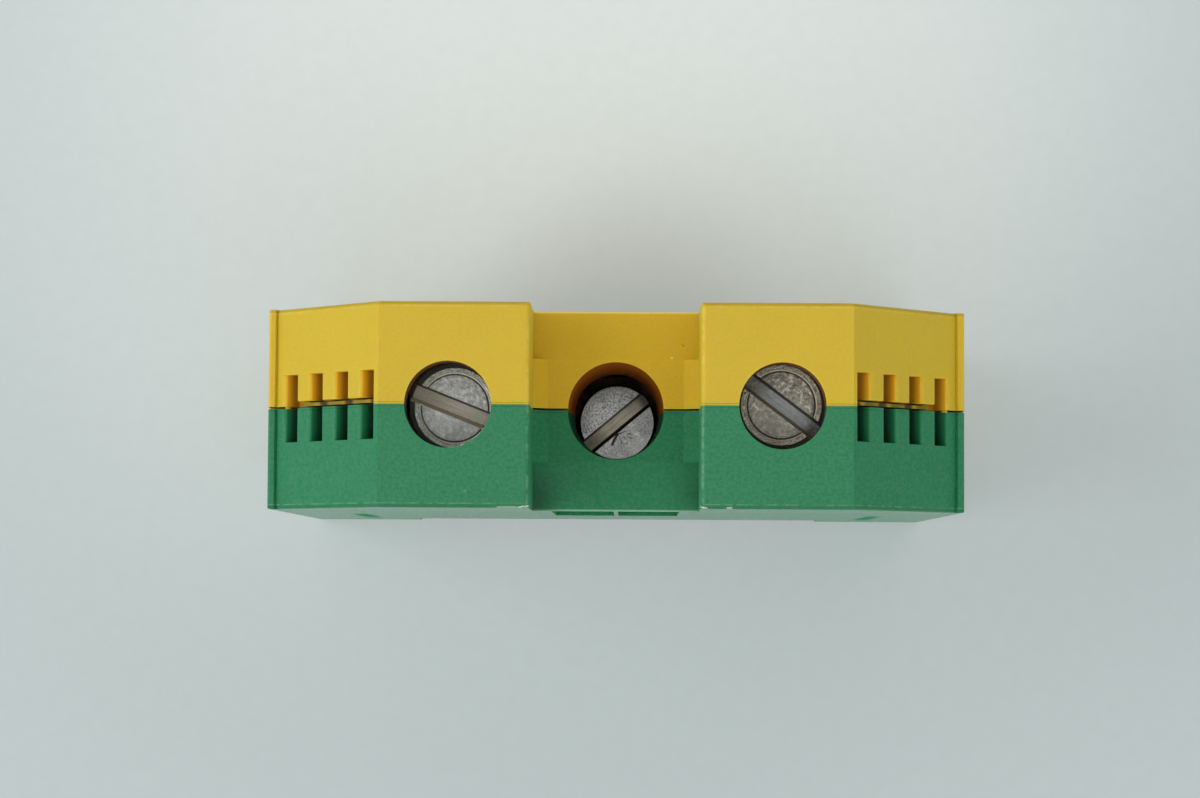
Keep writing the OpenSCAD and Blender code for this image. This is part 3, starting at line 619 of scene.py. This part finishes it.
screw("rail_screw", slot_angle=40.0, face=srgb(206, 205, 201), rim=srgb(150, 146, 140),
      floor_tones=[srgb(104, 98, 86), srgb(168, 161, 142), srgb(84, 77, 68)],
      worn=srgb(120, 106, 88), roughness=(0.18, 0.26), dirty=0.85, cast=0.5,
      cracks=[((0.05, -0.95), (-0.36, -1.80), 0.28), ((0.05, -0.95), (0.95, -0.60), 0.16),
              ((0.40, -0.95), (1.25, -0.88), 0.14), ((0.85, -0.60), (1.55, -0.62), 0.13),
              ((0.25, -1.15), (0.50, -1.70), 0.14), ((0.60, -1.05), (0.95, -1.60), 0.13),
              ((-0.25, -1.55), (-0.15, -2.15), 0.13), ((0.95, -1.10), (1.45, -1.30), 0.13)])


# Floor, light and camera

def floor():
    """Pale paper, with a painted pool of light behind the block and a painted shadow close behind its
    valley.
    """
    side = 1.5
    corners = [(-side, -side, 0), (side, -side, 0), (side, side, 0), (-side, side, 0)]
    mesh = bpy.data.meshes.new("floor")
    mesh.from_pydata(corners, [], [(0, 1, 2, 3)])
    ground = bpy.data.objects.new("floor", mesh)
    bpy.context.scene.collection.objects.link(ground)
    look = Look("floor_paper")
    # Painted pool of light behind the block.
    away = look.vector("DISTANCE", look.place, FLOOR_PAINTED_LIGHT)
    painted_light = look.fit(away, 0.008, 0.080, 1.0, 0.0)
    tone = look.mix(painted_light, srgb(182, 191, 191), srgb(220, 226, 224))
    # Painted shadow close behind the valley.
    painted_shadow_away = look.vector("DISTANCE", look.place, FLOOR_PAINTED_SHADOW)
    shade = look.fit(painted_shadow_away, 0.004, 0.019, 0.18, 0.0)
    tone = look.mix(shade, tone, srgb(60, 58, 48))
    tone = look.mix(look.fit(look.noise(700, detail=4), 0.3, 0.7, 0.0, 0.03), tone, srgb(120, 126, 128))
    look.set(Base_Color=tone, Roughness=0.75)
    path = look.add("ShaderNodeLightPath")
    seen = look.maths("MAXIMUM", path.outputs["Is Camera Ray"], path.outputs["Is Glossy Ray"])
    shine = look.add("ShaderNodeEmission", {"Color": tone}).outputs["Emission"]
    blend = look.add("ShaderNodeMixShader", {"Fac": look.maths("MULTIPLY", seen, FLOOR_SHINE)})
    look.put(blend.inputs[1], look.shader.outputs["BSDF"])
    look.put(blend.inputs[2], shine)
    look.put(look.tree.nodes["Material Output"].inputs["Surface"], blend.outputs["Shader"])
    mesh.materials.append(look.material)


# Middles of the painted pool of light and of the painted shadow, and the share of the floor's own shine
FLOOR_PAINTED_LIGHT = (-0.004, 0.042, 0.0)
FLOOR_PAINTED_SHADOW = (0.001, 0.009, 0.0)
FLOOR_SHINE = 0.25

# Strength of the room's light, then each lamp's place, diameter and power
SKY = 0.75
LAMPS = {
    "left_soft_box": ((-0.45, -0.02, 0.44), 0.5, 1.6),
    "front_soft_box": ((0.15, -0.43, 0.55), 0.6, 1.15),
}


def lights():
    """Even room light and two soft boxes that face the block."""
    world = bpy.data.worlds.new("room")
    world.use_nodes = True
    world.node_tree.nodes["Background"].inputs["Color"].default_value = (0.97, 1.0, 1.0, 1)
    world.node_tree.nodes["Background"].inputs["Strength"].default_value = SKY
    bpy.context.scene.world = world
    for name, (place, size, power) in LAMPS.items():
        lamp = bpy.data.lights.new(name, "AREA")
        lamp.shape = "DISK"
        lamp.size = size
        lamp.energy = power
        box = bpy.data.objects.new(name, lamp)
        box.location = place
        box.rotation_euler = (-Vector(place)).to_track_quat("-Z", "Y").to_euler()
        bpy.context.scene.collection.objects.link(box)


def camera():
    """Camera fitted to the edges in the photograph."""
    data = bpy.data.cameras.new("camera")
    data.sensor_width = 36
    data.lens = 95.1
    data.clip_start = 0.01
    view = bpy.data.objects.new("camera", data)
    view.location = (1.51*MM, -13.46*MM, 294.43*MM)
    view.rotation_mode = "ZYX"
    view.rotation_euler = [math.radians(a) for a in (3.258, 0.629, 0.302)]
    bpy.context.scene.collection.objects.link(view)
    bpy.context.scene.camera = view


floor()
lights()
camera()
bpy.context.scene.view_settings.view_transform = "Standard"
